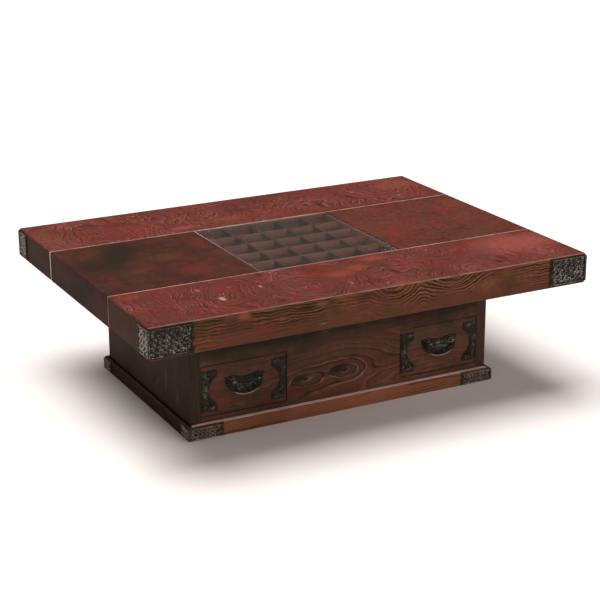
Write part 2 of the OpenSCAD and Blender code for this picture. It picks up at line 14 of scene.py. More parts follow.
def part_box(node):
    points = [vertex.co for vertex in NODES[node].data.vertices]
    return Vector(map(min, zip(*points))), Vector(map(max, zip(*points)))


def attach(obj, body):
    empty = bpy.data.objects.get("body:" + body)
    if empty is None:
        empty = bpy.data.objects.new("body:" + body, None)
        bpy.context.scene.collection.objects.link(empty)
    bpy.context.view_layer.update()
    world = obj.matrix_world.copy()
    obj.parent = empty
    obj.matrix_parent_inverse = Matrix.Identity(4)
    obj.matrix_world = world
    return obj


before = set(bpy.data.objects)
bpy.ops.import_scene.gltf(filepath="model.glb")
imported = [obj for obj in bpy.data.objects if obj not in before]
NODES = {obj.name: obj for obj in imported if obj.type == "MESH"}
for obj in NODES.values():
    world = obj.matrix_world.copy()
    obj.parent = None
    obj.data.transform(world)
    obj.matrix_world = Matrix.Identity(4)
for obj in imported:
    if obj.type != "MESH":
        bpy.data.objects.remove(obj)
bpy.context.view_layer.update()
MM = 0.001

# Faces, corners and seams that the looks are placed by, from the frame
PLANK_LOW, PLANK_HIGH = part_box("front_plank")
LEFT_X, FRONT_Y, UNDER_Z = PLANK_LOW
FRONT_SEAM_Y, TOP_Z = PLANK_HIGH.yz
REAR_SEAM_Y, REAR_Y = (corner.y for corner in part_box("rear_plank"))
CASE_LEFT_X, CASE_FRONT_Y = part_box("left_stile")[0].xy
PLINTH_LOW, PLINTH_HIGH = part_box("plinth_front")
PANE_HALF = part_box("glass_pane")[1].x
BAIL_X = sum(corner.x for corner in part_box("right_bail")) / 2

# Camera: the photograph's view, fitted to the table's edges
CAM_AZIMUTH = -27.64
CAM_ELEVATION = 18.80
CAM_ROLL = -0.19
CAM_TARGET = Vector((23.29, 15.38, 200.0)) * MM
CAM_DISTANCE = 4225.83 * MM
CAM_REACH = 100
FOCAL_PIXELS = 1586.56
IMAGE_PIXELS = 600
SENSOR_MM = 36.0


def make_camera():
    azimuth, elevation = math.radians(CAM_AZIMUTH), math.radians(CAM_ELEVATION)
    back = Vector((math.sin(azimuth) * math.cos(elevation),
                   -math.cos(azimuth) * math.cos(elevation),
                   math.sin(elevation)))
    right = Vector((0, 0, 1)).cross(back).normalized()
    up = back.cross(right)
    roll = math.radians(CAM_ROLL)
    x = right * math.cos(roll) + up * math.sin(roll)
    y = up * math.cos(roll) - right * math.sin(roll)
    data = bpy.data.cameras.new("camera")
    data.sensor_width = SENSOR_MM
    data.lens = FOCAL_PIXELS * SENSOR_MM / IMAGE_PIXELS
    data.clip_end = CAM_REACH
    camera = bpy.data.objects.new("camera", data)
    turned = Matrix((x, y, back)).transposed().to_4x4()
    camera.matrix_world = Matrix.Translation(CAM_TARGET + back * CAM_DISTANCE) @ turned
    bpy.context.scene.collection.objects.link(camera)
    bpy.context.scene.camera = camera


def colour(value):
    """A node's colour, opaque."""
    return (*value, 1.0)


class Graph:
    """A short way to write a material's node tree."""

    def __init__(self, name):
        self.material = bpy.data.materials.new(name)
        self.material.use_nodes = True
        self.tree = self.material.node_tree
        self.tree.nodes.clear()
        self.out = self.node("ShaderNodeOutputMaterial")

    def node(self, kind, **settings):
        made = self.tree.nodes.new(kind)
        for name, value in settings.items():
            setattr(made, name, value)
        return made

    def plug(self, socket, value):
        """Link a socket to an output, or set its own value."""
        if isinstance(value, bpy.types.NodeSocket):
            self.tree.links.new(value, socket)
        else:
            socket.default_value = colour(value) if socket.type == "RGBA" else value

    def feed(self, made, *values):
        """Plug values into a node's first sockets, in order, and give its first output."""
        for socket, value in zip(made.inputs, values):
            self.plug(socket, value)
        return made.outputs[0]

    def math(self, operation, *values):
        return self.feed(self.node("ShaderNodeMath", operation=operation), *values)

    def add(self, a, b):
        return self.math("ADD", a, b)

    def minus(self, a, b):
        return self.math("SUBTRACT", a, b)

    def mul(self, a, b):
        return self.math("MULTIPLY", a, b)

    def either(self, a, b):
        """The larger of two."""
        return self.math("MAXIMUM", a, b)

    def absolute(self, value):
        return self.math("ABSOLUTE", value)

    def span(self, value, low, high):
        """Low where the value is 0, high where it is 1."""
        return self.add(self.mul(value, high - low), low)

    def smooth(self, value, low, high):
        """0 at low, 1 at high, smooth in between; high may be the lower one."""
        made = self.node("ShaderNodeMapRange", interpolation_type="SMOOTHSTEP")
        falls = high < low
        return self.feed(made, value, min(low, high), max(low, high), float(falls), float(not falls))

    def mix(self, factor, a, b):
        """Colour b over colour a."""
        made = self.node("ShaderNodeMix", data_type="RGBA")
        for i, value in ((0, factor), (6, a), (7, b)):
            self.plug(made.inputs[i], value)
        return made.outputs[2]

    def ramp(self, factor, *stops):
        """Colours at places from 0 to 1."""
        made = self.node("ShaderNodeValToRGB")
        elements = made.color_ramp.elements
        while len(elements) < len(stops):
            elements.new(1.0)
        for element, (place, value) in zip(elements, stops):
            element.position = place
            element.color = colour(value)
        return self.feed(made, factor)

    def point(self):
        """The surface's own point, in metres."""
        return self.node("ShaderNodeTexCoord").outputs["Object"]

    def facing(self):
        """The surface's own direction, as three numbers."""
        return self.split(self.node("ShaderNodeTexCoord").outputs["Normal"])

    def split(self, vector):
        made = self.node("ShaderNodeSeparateXYZ")
        self.feed(made, vector)
        return made.outputs

    def join(self, x, y, z):
        return self.feed(self.node("ShaderNodeCombineXYZ"), x, y, z)

    def vector(self, operation, a, b):
        return self.feed(self.node("ShaderNodeVectorMath", operation=operation), a, b)

    def stretch(self, vector, factors):
        return self.vector("MULTIPLY", vector, factors)

    def add_offset(self, vector, by):
        return self.vector("ADD", vector, (by, by, by))

    def length(self, vector):
        made = self.node("ShaderNodeVectorMath", operation="LENGTH")
        self.feed(made, vector)
        return made.outputs["Value"]

    def away(self, u, v, at, reach, third=0.0):
        """The way from a place to the point at u and v, counted in reaches along both axes."""
        return self.join(self.mul(self.minus(u, at[0]), 1 / reach[0]),
                         self.mul(self.minus(v, at[1]), 1 / reach[1]), third)

    def noise_node(self, vector, scale, detail, rough):
        made = self.node("ShaderNodeTexNoise")
        for name, value in (("Vector", vector), ("Scale", scale), ("Detail", detail), ("Roughness", rough)):
            self.plug(made.inputs[name], value)
        return made

    def noise(self, vector, scale, detail=3.0, rough=0.5):
        """Noise from 0 to 1, with bumps 1 / scale apart."""
        return self.noise_node(vector, scale, detail, rough).outputs[0]

    def swing(self, vector, scale, amount, detail=2.0, rough=0.5):
        """Noise from about -amount to amount."""
        return self.mul(self.minus(self.noise(vector, scale, detail, rough), 0.5), 4 * amount)

    def swings(self, vector, scale, amount):
        """Noise from about -amount to amount, on its own along both axes of a flat side."""
        made = self.noise_node(vector, scale, 1.0, 0.5).outputs["Color"]
        return self.stretch(self.vector("SUBTRACT", made, (0.5, 0.5, 0.5)), (4 * amount, 4 * amount, 0))

    def cells(self, vector, scale):
        made = self.node("ShaderNodeTexVoronoi")
        self.plug(made.inputs["Vector"], vector)
        self.plug(made.inputs["Scale"], scale)
        return made.outputs["Distance"]

    def bump(self, height, strength, distance):
        made = self.node("ShaderNodeBump")
        for name, value in (("Height", height), ("Strength", strength), ("Distance", distance)):
            self.plug(made.inputs[name], value)
        return made.outputs[0]

    def principled(self, **sockets):
        """A shader; the names are its sockets' with _ for a space."""
        made = self.node("ShaderNodeBsdfPrincipled")
        for name, value in sockets.items():
            self.plug(made.inputs[name.replace("_", " ")], value)
        return made.outputs[0]

    def cover(self, factor, a, b):
        """Shader b over shader a."""
        return self.feed(self.node("ShaderNodeMixShader"), factor, a, b)

    def ray(self, kind):
        return self.node("ShaderNodeLightPath").outputs[kind]

    def finish(self, shader):
        self.plug(self.out.inputs["Surface"], shader)
        return self.material


# The figure of the wood: growth rings round swirls, each ring with a pale and a deep line. From
# 0 to 1, these are the places of the dark, the middle and the light shade, and of plain wood.
SHADE_STOPS = (0.0, 0.45, 1.0)
PLAIN_WOOD = 0.42


def ring_count(g, u, v, drawn, swirls, bends):
    """How many rings away from the nearest swirl a point lies."""
    drift = (0.0, 0.0, 0.0)
    for size, reach in bends:
        drift = g.vector("ADD", g.swings(drawn, size, reach), drift)
    rings = None
    for at_u, at_v, ring_u, ring_v, *back in swirls:
        away = g.length(g.vector("ADD", g.away(u, v, (at_u, at_v), (ring_u, ring_v)), drift))
        if back:
            away = g.add(away, back[0])
        rings = away if rings is None else g.math("SMOOTH_MIN", rings, away, 2.5)
    return rings


def ring_lines(g, rings, drawn, deep_width):
    """How much of a pale and of a deep line there is; the pale ones break off and differ."""
    along = g.join(rings, 0.0, 0.0)
    share = g.math("FRACT", g.add(rings, g.swing(along, 0.5, 0.4, 1.0)))
    pale = g.mul(g.smooth(share, 0.14, 0.26), g.smooth(share, 0.50, 0.36))
    deep = g.mul(g.smooth(share, 0.0, 0.05), g.smooth(share, deep_width, deep_width * 0.5))
    own = g.smooth(g.noise(g.add_offset(along, 5.0), 0.9, 1.0), 0.30, 0.65)
    broken = g.smooth(g.noise(drawn, 60, 2.0), 0.36, 0.58)
    return g.mul(pale, g.span(g.mul(own, broken), 0.2, 1.0)), deep


def tinted(g, shade, drawn, tints):
    for i, (tint, size, most) in enumerate(tints):
        comes = g.smooth(g.noise(g.add_offset(drawn, 3.7 * (i + 1)), size, 2.0), 0.50, 0.66)
        shade = g.mix(g.mul(comes, most), shade, tint)
    return shade


# Soft patches of colour: real blotches, and painted light and shade such as sheen and shadow
def add_blotches_and_painted_light(g, shade, place, u, v, blotches_and_painted_light):
    for at_u, at_v, reach_u, reach_v, patch_colour, most in blotches_and_painted_light:
        ragged = g.swing(place, 1.4 / min(reach_u, reach_v), 0.5)
        away = g.length(g.away(u, v, (at_u, at_v), (reach_u, reach_v), ragged))
        shade = g.mix(g.mul(g.smooth(away, 1.2, 0.3), most), shade, patch_colour)
    return shade


def figure(g, place, axes, shades, swirls, bends, stretch=(1, 1, 1), contrast=1.0,
           lines=(0.75, 0.7, 0.2), clouds=0.25, fibre=(14, 420, 420), streaks=0.45, mottle=0.0,
           tints=(), blotches_and_painted_light=(), vivid=()):
    """The grain on one flat side: its colour, and how high its growth rings stand.

    axes are the two that the side lies along, and shades are its dark, middle and light colour.
    swirls are the places where the rings close on themselves, each with the distance between
    rings along both axes, and how many rings it stands back behind its neighbours. bends are
    sizes, in bumps a metre, and reaches, in rings, of what draws the rings out of shape. stretch
    and fibre are how fast the bends and the fine fibre change along each axis. contrast is how
    strong the rings are, lines how strong the pale and the deep part of each is, and the deep
    part's width. clouds, mottle and streaks are how strong the wide patches, the small patches and
    the fibre are. tints are colours that come and go over the face, each with a size and a share.
    blotches_and_painted_light are soft patches, real blotches and painted light and shade alike, each
    a place, a reach along both axes, a colour and a share. vivid are places where the rings are
    stronger, each a place, a reach along both axes and how much.
    """
    sides = g.split(place)
    u, v = (sides["xyz".index(axis)] for axis in axes)
    drawn = g.stretch(place, stretch)
    pale_share, deep_share, deep_width = lines
    pale, deep = ring_lines(g, ring_count(g, u, v, drawn, swirls, bends), drawn, deep_width)
    strength = g.smooth(g.noise(drawn, 9, 3.0, 0.6), 0.38, 0.62)
    strength = g.mul(g.span(strength, 0.25, 1.0), contrast)
    for at_u, at_v, reach_u, reach_v, more in vivid:
        away = g.length(g.away(u, v, (at_u, at_v), (reach_u, reach_v)))
        strength = g.add(strength, g.mul(g.smooth(away, 1.3, 0.3), more))
    fine = g.noise(g.stretch(place, fibre), 1.0, 3.0, 0.6)
    amount = g.mul(g.minus(g.mul(pale, pale_share), g.mul(deep, deep_share)), strength)
    amount = g.add(amount, g.mul(g.minus(fine, 0.5), streaks))
    amount = g.add(amount, g.swing(drawn, 7, clouds, 3.0, 0.6))
    if mottle:
        amount = g.add(amount, g.swing(place, 80, mottle, 3.0, 0.6))
    shade = g.ramp(g.add(amount, PLAIN_WOOD), *zip(SHADE_STOPS, shades))
    shade = add_blotches_and_painted_light(g, tinted(g, shade, drawn, tints), place, u, v, blotches_and_painted_light)
    return shade, g.add(pale, g.mul(fine, 1.5))


# The pale colour of painted highlights on edges and ledges, and how softly a painted strip ends, out and
# inward
EDGE_HIGHLIGHT = (0.40, 0.23, 0.17)
STRIP_FADE_OUT = 0.8 * MM
STRIP_FADE_IN = 0.4 * MM


# Painted highlights: pale lines along edges and seams where light would catch them, broken up as if rubbed
def painted_edge_highlights(g, shade, sides, breaks, edges, highlight):
    for axis, spot, width, share, *own in edges:
        others = [side for side, name in zip(sides, "xyz") if name != axis]
        gap = g.length(g.join(*(g.minus(side, at) for side, at in zip(others, spot)), 0.0))
        rub = g.mul(g.smooth(gap, width, width * 0.5), g.span(breaks, 0.4, 1.0))
        shade = g.mix(g.mul(rub, share), shade, own[0] if own else highlight)
    return shade


# Painted strips: bands of colour, such as a painted highlight on a ledge and painted shadow beside irons
def painted_strips(g, shade, sides, breaks, strips, highlight):
    for low, high, share, *own in strips:
        inside = share
        for side, a, b in zip(sides, low, high):
            half = (b - a) / 2
            gap = g.absolute(g.minus(side, (a + b) / 2))
            inside = g.mul(g.smooth(gap, half + STRIP_FADE_OUT, half - STRIP_FADE_IN), inside)
        rub = g.mul(inside, g.span(breaks, 0.6, 1.0))
        shade = g.mix(rub, shade, own[0] if own else highlight)
    return shade


def wood(name, top=None, front=None, side=None, highlight=EDGE_HIGHLIGHT, edges=(), strips=(), gloss=0.30,
         coat=0.05, shine=0.10):
    """Lacquered wood. top, front and side are the figures on the faces across Z, Y and X.

    edges are painted highlights along edges, each an axis, its place on the two others, a width and a
    share, and strips are whole bands, such as a painted highlight on a ledge and painted shadow beside
    irons: a low corner, a high corner and a share. Both take the highlight colour, or their own at the end.
    """
    g = Graph(name)
    place = g.point()
    facing = g.facing()
    shade = height = None
    for axis, given in enumerate((side, front, top)):
        if given is None:
            continue
        own, rise = figure(g, place, **given)
        if shade is None:
            shade, height = own, rise
            continue
        turn = g.smooth(g.absolute(facing[axis]), 0.62, 0.78)
        shade = g.mix(turn, shade, own)
        height = g.add(g.mul(g.minus(1.0, turn), height), g.mul(turn, rise))

    sides = g.split(place)
    breaks = g.smooth(g.noise(place, 22, 4.0, 0.7), 0.30, 0.62)
    shade = painted_edge_highlights(g, shade, sides, breaks, edges, highlight)
    shade = painted_strips(g, shade, sides, breaks, strips, highlight)
    return g.finish(g.principled(
        Base_Color=shade,
        Roughness=g.span(g.noise(place, 34, 3.0, 0.6), gloss + 0.15, gloss + 0.30),
        Specular_IOR_Level=shine,
        Coat_Weight=coat,
        Coat_Roughness=gloss,
        Normal=g.bump(height, 0.15, 0.6 * MM)))


def iron(name, base, high, rub=0.35, roughness=0.45, ends=0.0, bright_places=None):
    """Blackened cast iron: its base colour, and the high one where rubbed through and where painted as lit.

    rub is how widely it is rubbed, ends how much brighter the sides across X are painted, a painted
    highlight, and bright_places a function giving the places rubbed by hands and painted as a highlight.
    """
    g = Graph(name)
    place = g.point()
    skin = g.noise(place, 260, 4.0, 0.65)
    patches = g.noise(place, 45, 3.0, 0.6)
    spread = g.add(g.mul(skin, 0.6), g.mul(patches, 0.4))
    brightened = g.smooth(spread, 0.66 - rub * 0.4, 0.80 - rub * 0.4)
    # Painted highlight: the sides across X brighter, in wide patches
    if ends:
        side = g.smooth(g.absolute(g.facing()[0]), 0.5, 0.9)
        wide = g.smooth(g.noise(place, 28, 2.0), 0.35, 0.65)
        brightened = g.add(brightened, g.mul(g.mul(side, wide), ends))
    # Places rubbed by hands and painted as a highlight
    if bright_places:
        brightened = g.either(brightened, bright_places(g, place))
    return g.finish(g.principled(
        Base_Color=g.mix(brightened, base, high),
        Metallic=0.8,
        Roughness=g.span(skin, roughness - 0.12, roughness + 0.13),
        Specular_IOR_Level=0.5,
        Normal=g.bump(g.add(skin, g.cells(place, 480)), 0.35, 0.5 * MM)))


# A bail's bar sweeps round a point above it; low on its outer side it is rubbed and has a painted highlight
BAIL_SWEEP_Z = 157.5 * MM
BAIL_BRIGHT_REACH = (59.0 * MM, 60.2 * MM)
BAIL_BRIGHT_BELOW = (48 * MM, 56 * MM)


def bail_bright_places(g, place):
    """1 where a bail is painted bright, as rubbed by hands and as a painted highlight, 0 elsewhere."""
    x, _, z = g.split(place)
    across = g.minus(g.absolute(x), BAIL_X)
    reach = g.length(g.join(across, g.minus(z, BAIL_SWEEP_Z), 0.0))
    low_down = g.smooth(z, *(BAIL_SWEEP_Z - below for below in BAIL_BRIGHT_BELOW))
    return g.mul(g.smooth(reach, *BAIL_BRIGHT_REACH), low_down)


# The width of the pane's ground rim, painted pale as a highlight
PANE_RIM = 2.4 * MM


def glass(name):
    """Pane with a ground rim painted pale as a highlight, dull above, letting lamps through to what's under
    it.
    """
    g = Graph(name)
    place = g.point()
    x, y, _ = g.split(place)
    up = g.facing()[2]
    pane = g.principled(
        Base_Color=(0.89, 0.785, 0.73),
        Roughness=g.mul(g.smooth(up, 0.0, 0.5), g.span(g.noise(place, 9, 4.0, 0.6), 0.140, 0.213)),
        Specular_IOR_Level=0.05,
        IOR=1.47,
        Transmission_Weight=1.0)
    clear = g.feed(g.node("ShaderNodeBsdfTransparent"), (0.86, 0.84, 0.80))
    pane = g.cover(g.ray("Is Shadow Ray"), pane, clear)
    upright = g.smooth(g.absolute(up), 0.5, 0.2)
    ground = g.principled(
        Base_Color=g.mix(upright, (0.50, 0.42, 0.37), (0.07, 0.055, 0.045)),
        Roughness=0.6)
    # The rim's painted highlight: strong at the rear and the back of the left side, faint at front and
    # right
    left_share = g.span(g.smooth(y, -0.12, 0.18), 0.25, 0.70)
    rim = upright
    for side, share in ((g.mul(x, -1), left_share), (x, 0.05), (g.mul(y, -1), 0.10), (y, 0.85)):
        line = g.smooth(side, PANE_HALF - PANE_RIM, PANE_HALF - PANE_RIM * 0.4)
        rim = g.either(rim, g.mul(line, share))
    return g.finish(g.cover(rim, pane, ground))


def steel(name):
    g = Graph(name)
    turned = g.noise(g.stretch(g.point(), (600, 600, 40)), 1.0, 3.0, 0.6)
    return g.finish(g.principled(
        Base_Color=g.mix(turned, (0.42, 0.42, 0.40), (0.62, 0.62, 0.60)),
        Metallic=1.0,
        Roughness=g.span(turned, 0.25, 0.45),
        Normal=g.bump(turned, 0.15, 0.2 * MM)))


def dress(material, *names):
    for name in names:
        mesh = NODES[name].data
        mesh.materials.clear()
        mesh.materials.append(material)


def named(part):
    """The nodes that have a word in their names."""
    return [name for name in NODES if part in name]


# Shades and tints of the woods
RED = ((0.055, 0.015, 0.011), (0.118, 0.024, 0.018), (0.270, 0.085, 0.066))
BROWN_EDGE = ((0.028, 0.015, 0.006), (0.165, 0.053, 0.023), (0.370, 0.135, 0.078))
END = ((0.009, 0.004, 0.002), (0.020, 0.007, 0.003), (0.038, 0.014, 0.007))
FRONT_END = ((0.016, 0.007, 0.003), (0.036, 0.013, 0.006), (0.064, 0.025, 0.013))
ORANGE = (0.21, 0.050, 0.020)
AMBER = (0.26, 0.08, 0.03)
OLIVE = (0.020, 0.018, 0.010)
BROWN = (0.070, 0.036, 0.018)
RUST = (0.14, 0.026, 0.016)
DEEP_RED = (0.060, 0.014, 0.010)
CRIMSON = (0.160, 0.018, 0.014)
DARK_CRIMSON = (0.150, 0.020, 0.014)
BAND_CRIMSON = (0.13, 0.020, 0.015)
BAND_DARK = (0.018, 0.011, 0.007)
BAND_DARK_FRONT = (0.019, 0.011, 0.007)
PURPLE = (0.090, 0.026, 0.026)
PLUM = (0.110, 0.030, 0.034)
GREY = (0.105, 0.090, 0.085)
SHADOW = (0.020, 0.014, 0.008)
# The pale seam colour is a painted highlight
SEAM_HIGHLIGHT = (0.55, 0.36, 0.29)

# Figures that several faces share
END_GRAIN = dict(
    axes="yz", shades=END, swirls=((0.1, -0.2, 0.012, 0.012),), bends=((4, 1.5), (20, 0.4)),
    stretch=(1, 0.5, 1), fibre=(420, 14, 420), contrast=0.6, clouds=0.6, mottle=0.35,
    tints=(((0.050, 0.011, 0.009), 14, 0.5),))
EDGE_GRAIN = dict(
    axes="xz", shades=BROWN_EDGE,
    swirls=((-0.41, 0.385, 0.050, 0.0075, 2.5), (0.036, 0.388, 0.010, 0.0080),
            (0.205, 0.398, 0.015, 0.0080, 0.5), (-0.16, 0.390, 0.060, 0.0080, 2.5),
            (0.46, 0.395, 0.070, 0.0075, 4.0)),
    bends=((9, 0.8), (28, 0.55), (80, 0.22)), stretch=(0.6, 1, 1), lines=(0.9, 1.2, 0.64), clouds=0.3,
    mottle=0.14,
    vivid=((0.09, 0.362, 0.10, 0.028, 0.9), (-0.40, 0.360, 0.12, 0.025, 0.6),
           (0.40, 0.340, 0.18, 0.060, -0.45), (-0.15, 0.325, 0.15, 0.025, -0.2)),
    tints=(((0.055, 0.034, 0.012), 16, 0.6), ((0.190, 0.045, 0.022), 20, 0.5),
           ((0.120, 0.030, 0.026), 12, 0.5)),
    blotches_and_painted_light=((0.0, 0.300, 0.9, 0.036, (0.110, 0.036, 0.018), 0.70),
            (-0.3625, 0.363, 0.020, 0.010, (0.30, 0.09, 0.03), 0.6),
            (-0.1625, 0.360, 0.020, 0.009, AMBER, 0.5),
            (-0.1125, 0.365, 0.020, 0.007, AMBER, 0.5),
            (-0.380, 0.340, 0.050, 0.018, OLIVE, 0.45),
            (-0.200, 0.358, 0.022, 0.012, OLIVE, 0.5),
            (-0.053, 0.358, 0.030, 0.012, OLIVE, 0.5),
            (-0.310, 0.322, 0.040, 0.014, (0.17, 0.026, 0.016), 0.5),
            (-0.158, 0.310, 0.011, 0.0012, (0.35, 0.22, 0.14), 0.6)))
BAND_GRAIN = dict(axes="xy", bends=((3, 1.5), (14, 0.5)))
UPRIGHT_GRAIN = dict(bends=((3, 1.0), (20, 0.4)), stretch=(1, 1, 0.25), fibre=(420, 420, 14))
LYING_GRAIN = dict(bends=((4, 1.0), (20, 0.4)), stretch=(0.4, 1, 1))
TRAY_GRAIN = dict(swirls=((0.3, 0.9, 0.08, 0.012),), bends=((5, 1), (25, 0.3)), contrast=0.4)
DULL = dict(gloss=0.4, coat=0.0, shine=0.0)


def iron_shades(name):
    """Painted shadow on the front plank, in lines just below and above one iron."""
    low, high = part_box(name)
    for under, over in ((low.z - 4.3 * MM, low.z - 0.5 * MM), (high.z, high.z + 4.3 * MM)):
        yield (low.x, FRONT_Y - 0.5 * MM, under), (high.x, FRONT_Y + 2 * MM, over), 0.85, SHADOW


def dress_front_plank():
    top = dict(
        axes="xy", shades=RED,
        swirls=((-0.150, -0.340, 0.014, 0.019), (-0.335, -0.305, 0.012, 0.040),
                (0.235, -0.230, 0.010, 0.014), (0.392, -0.235, 0.010, 0.013),
                (0.070, -0.420, 0.016, 0.020), (0.560, -0.400, 0.018, 0.022)),
        bends=((5, 2.2), (15, 1.1), (50, 0.25)), contrast=1.05, lines=(0.85, 1.15, 0.36), mottle=0.16,
        vivid=((-0.42, -0.31, 0.11, 0.12, 0.9), (0.25, -0.25, 0.10, 0.05, 0.8)),
        tints=((CRIMSON, 40, 0.40), (BROWN, 34, 0.45), (PLUM, 14, 0.3), (DARK_CRIMSON, 6, 0.4)),
        blotches_and_painted_light=((-0.037, -0.306, 0.050, 0.030, ORANGE, 0.55),
                (0.025, -0.281, 0.040, 0.025, ORANGE, 0.55),
                (0.100, -0.235, 0.050, 0.025, (0.24, 0.06, 0.04), 0.5),
                (0.094, -0.306, 0.012, 0.030, OLIVE, 0.5),
                (-0.080, -0.250, 0.030, 0.020, DEEP_RED, 0.5),
                (0.012, -0.394, 0.050, 0.020, DEEP_RED, 0.5),
                (-0.555, -0.235, 0.030, 0.020, (0.22, 0.03, 0.02), 0.6),
                # A wide lighter patch towards the right end: painted sheen
                (0.500, -0.290, 0.150, 0.090, (0.27, 0.065, 0.055), 0.6),
                (0.120, -0.375, 0.050, 0.025, PURPLE, 0.4),
                (0.325, -0.375, 0.050, 0.030, PURPLE, 0.4),
                (-0.369, -0.344, 0.009, 0.016, (0.50, 0.35, 0.28), 0.6),
                (-0.250, -0.303, 0.005, 0.012, (0.45, 0.30, 0.26), 0.5),
                (-0.395, -0.262, 0.006, 0.012, (0.40, 0.25, 0.20), 0.3)))
    beside_glass = ((-0.195, FRONT_SEAM_Y - 7 * MM, TOP_Z - 4 * MM),
                    (0.200, FRONT_SEAM_Y + 1.5 * MM, TOP_Z + 1 * MM), 0.7, (0.16, 0.085, 0.070))
    dress(wood(
        "front_plank_wood", side=dict(END_GRAIN, shades=FRONT_END), front=EDGE_GRAIN, top=top,
        # Painted highlights: pale lines on the front and lower edges, on the seam and down it at the left
        # end
        edges=(("x", (FRONT_Y, TOP_Z), 3.4 * MM, 0.65),
               ("x", (FRONT_Y, UNDER_Z), 2.6 * MM, 0.45),
               ("x", (FRONT_SEAM_Y, TOP_Z), 5.5 * MM, 1.0, SEAM_HIGHLIGHT),
               ("z", (LEFT_X, FRONT_SEAM_Y), 6.0 * MM, 0.9, (0.30, 0.22, 0.19))),
        # Painted shadow just below and above both irons
        strips=(*iron_shades("slab_iron_front_left"), *iron_shades("slab_iron_front_right"),
                beside_glass)), "front_plank")


def dress_rear_plank():
    top = dict(
        axes="xy", shades=RED,
        swirls=((0.18, 0.25, 0.015, 0.020), (-0.10, 0.34, 0.016, 0.022),
                (-0.44, 0.30, 0.015, 0.021), (0.46, 0.36, 0.015, 0.022)),
        bends=((5, 1.8), (15, 0.8), (50, 0.20)), contrast=1.15, lines=(0.8, 1.1, 0.34), mottle=0.34,
        vivid=((0.42, 0.32, 0.22, 0.13, 1.4),),
        tints=((CRIMSON, 40, 0.45), (BROWN, 34, 0.50), (PLUM, 14, 0.4), (DARK_CRIMSON, 6, 0.4)),
        blotches_and_painted_light=((0.525, 0.370, 0.080, 0.050, (0.21, 0.052, 0.026), 0.5),
                (-0.060, 0.270, 0.050, 0.025, ORANGE, 0.5),
                (-0.210, 0.244, 0.040, 0.020, (0.24, 0.07, 0.06), 0.5),
                (-0.350, 0.356, 0.050, 0.030, DEEP_RED, 0.5),
                (-0.006, 0.330, 0.050, 0.025, DEEP_RED, 0.5),
                (0.325, 0.344, 0.030, 0.030, DEEP_RED, 0.5),
                (-0.570, 0.320, 0.050, 0.100, (0.16, 0.05, 0.02), 0.4)))
    dress(wood(
        "rear_plank_wood", side=END_GRAIN, front=EDGE_GRAIN, top=top,
        # Painted highlights: pale lines on the seam with the band, down it at the left end and on the rear
        # edge
        edges=(("x", (REAR_SEAM_Y, TOP_Z), 4.0 * MM, 0.95, (0.47, 0.29, 0.23)),
               ("z", (LEFT_X, REAR_SEAM_Y), 6.4 * MM, 1.0, (0.60, 0.43, 0.36)),
               ("x", (REAR_Y, TOP_Z), 3.0 * MM, 0.3))), "rear_plank")


def dress_band():
    """The panels beside the glass: the left darker and patchy, partly painted shade; the right redder."""
    left = dict(
        BAND_GRAIN, shades=((0.026, 0.009, 0.006), (0.048, 0.015, 0.010), (0.085, 0.026, 0.018)),
        swirls=((-0.3, -0.3, 0.035, 0.09),), contrast=0.2, clouds=0.25, streaks=0.8, mottle=0.18,
        tints=((CRIMSON, 30, 0.20), ((0.040, 0.026, 0.014), 24, 0.30)),
        blotches_and_painted_light=((-0.433, 0.1375, 0.070, 0.080, BAND_DARK, 0.90),
                (-0.470, 0.075, 0.060, 0.070, BAND_DARK, 0.85),
                (-0.506, 0.020, 0.060, 0.080, BAND_DARK_FRONT, 0.80),
                (-0.562, 0.030, 0.055, 0.085, BAND_DARK_FRONT, 0.75),
                (-0.333, -0.110, 0.060, 0.050, BAND_CRIMSON, 0.5),
                (-0.233, 0.090, 0.035, 0.060, BAND_CRIMSON, 0.4),
                (-0.208, -0.020, 0.030, 0.050, BAND_CRIMSON, 0.4),
                (-0.350, 0.020, 0.050, 0.040, (0.10, 0.036, 0.014), 0.4)))
    right = dict(
        BAND_GRAIN, shades=((0.050, 0.013, 0.009), (0.095, 0.023, 0.017), (0.160, 0.037, 0.025)),
        swirls=((0.3, -0.3, 0.035, 0.09),), contrast=0.15, clouds=0.24, streaks=1.0, mottle=0.36,
        tints=((CRIMSON, 30, 0.40), (BROWN, 24, 0.50)),
        blotches_and_painted_light=((0.490, -0.154, 0.060, 0.030, (0.060, 0.034, 0.016), 0.5),
                (0.260, -0.070, 0.040, 0.050, (0.17, 0.020, 0.016), 0.5),
                (0.560, 0.125, 0.040, 0.060, ORANGE, 0.2)))
    for side, top in (("left", left), ("right", right)):
        dress(wood(f"{side}_band_wood", side=END_GRAIN, top=top), f"{side}_panel")


def dress_case_sides():
    side = dict(
        UPRIGHT_GRAIN, axes="yz",
        shades=((0.017, 0.010, 0.008), (0.043, 0.022, 0.017), (0.094, 0.054, 0.045)),
        swirls=((-0.05, 0.6, 0.012, 0.10),), contrast=0.6,
        blotches_and_painted_light=((-0.123, 0.100, 0.006, 0.045, GREY, 0.6), (-0.193, 0.078, 0.007, 0.022, GREY, 0.55)))
    front = dict(
        UPRIGHT_GRAIN, axes="xz",
        shades=((0.027, 0.021, 0.012), (0.058, 0.043, 0.023), (0.092, 0.064, 0.037)),
        swirls=((-0.3, 0.9, 0.010, 0.12),), contrast=0.6,
        blotches_and_painted_light=((0.41, 0.14, 0.05, 0.30, (0.082, 0.038, 0.030), 0.8),))
    dress(wood("case_wood", side=side, front=front),
          "left_stile", "right_stile", "case_left_side", "case_right_side")


def dress_case_back():
    back = dict(
        UPRIGHT_GRAIN, axes="xz",
        shades=((0.017, 0.009, 0.006), (0.044, 0.020, 0.014), (0.085, 0.040, 0.028)),
        swirls=((-0.25, 0.9, 0.012, 0.12), (0.28, -0.5, 0.012, 0.12)), contrast=0.7)
    dress(wood("back_wood", front=back), "case_back")


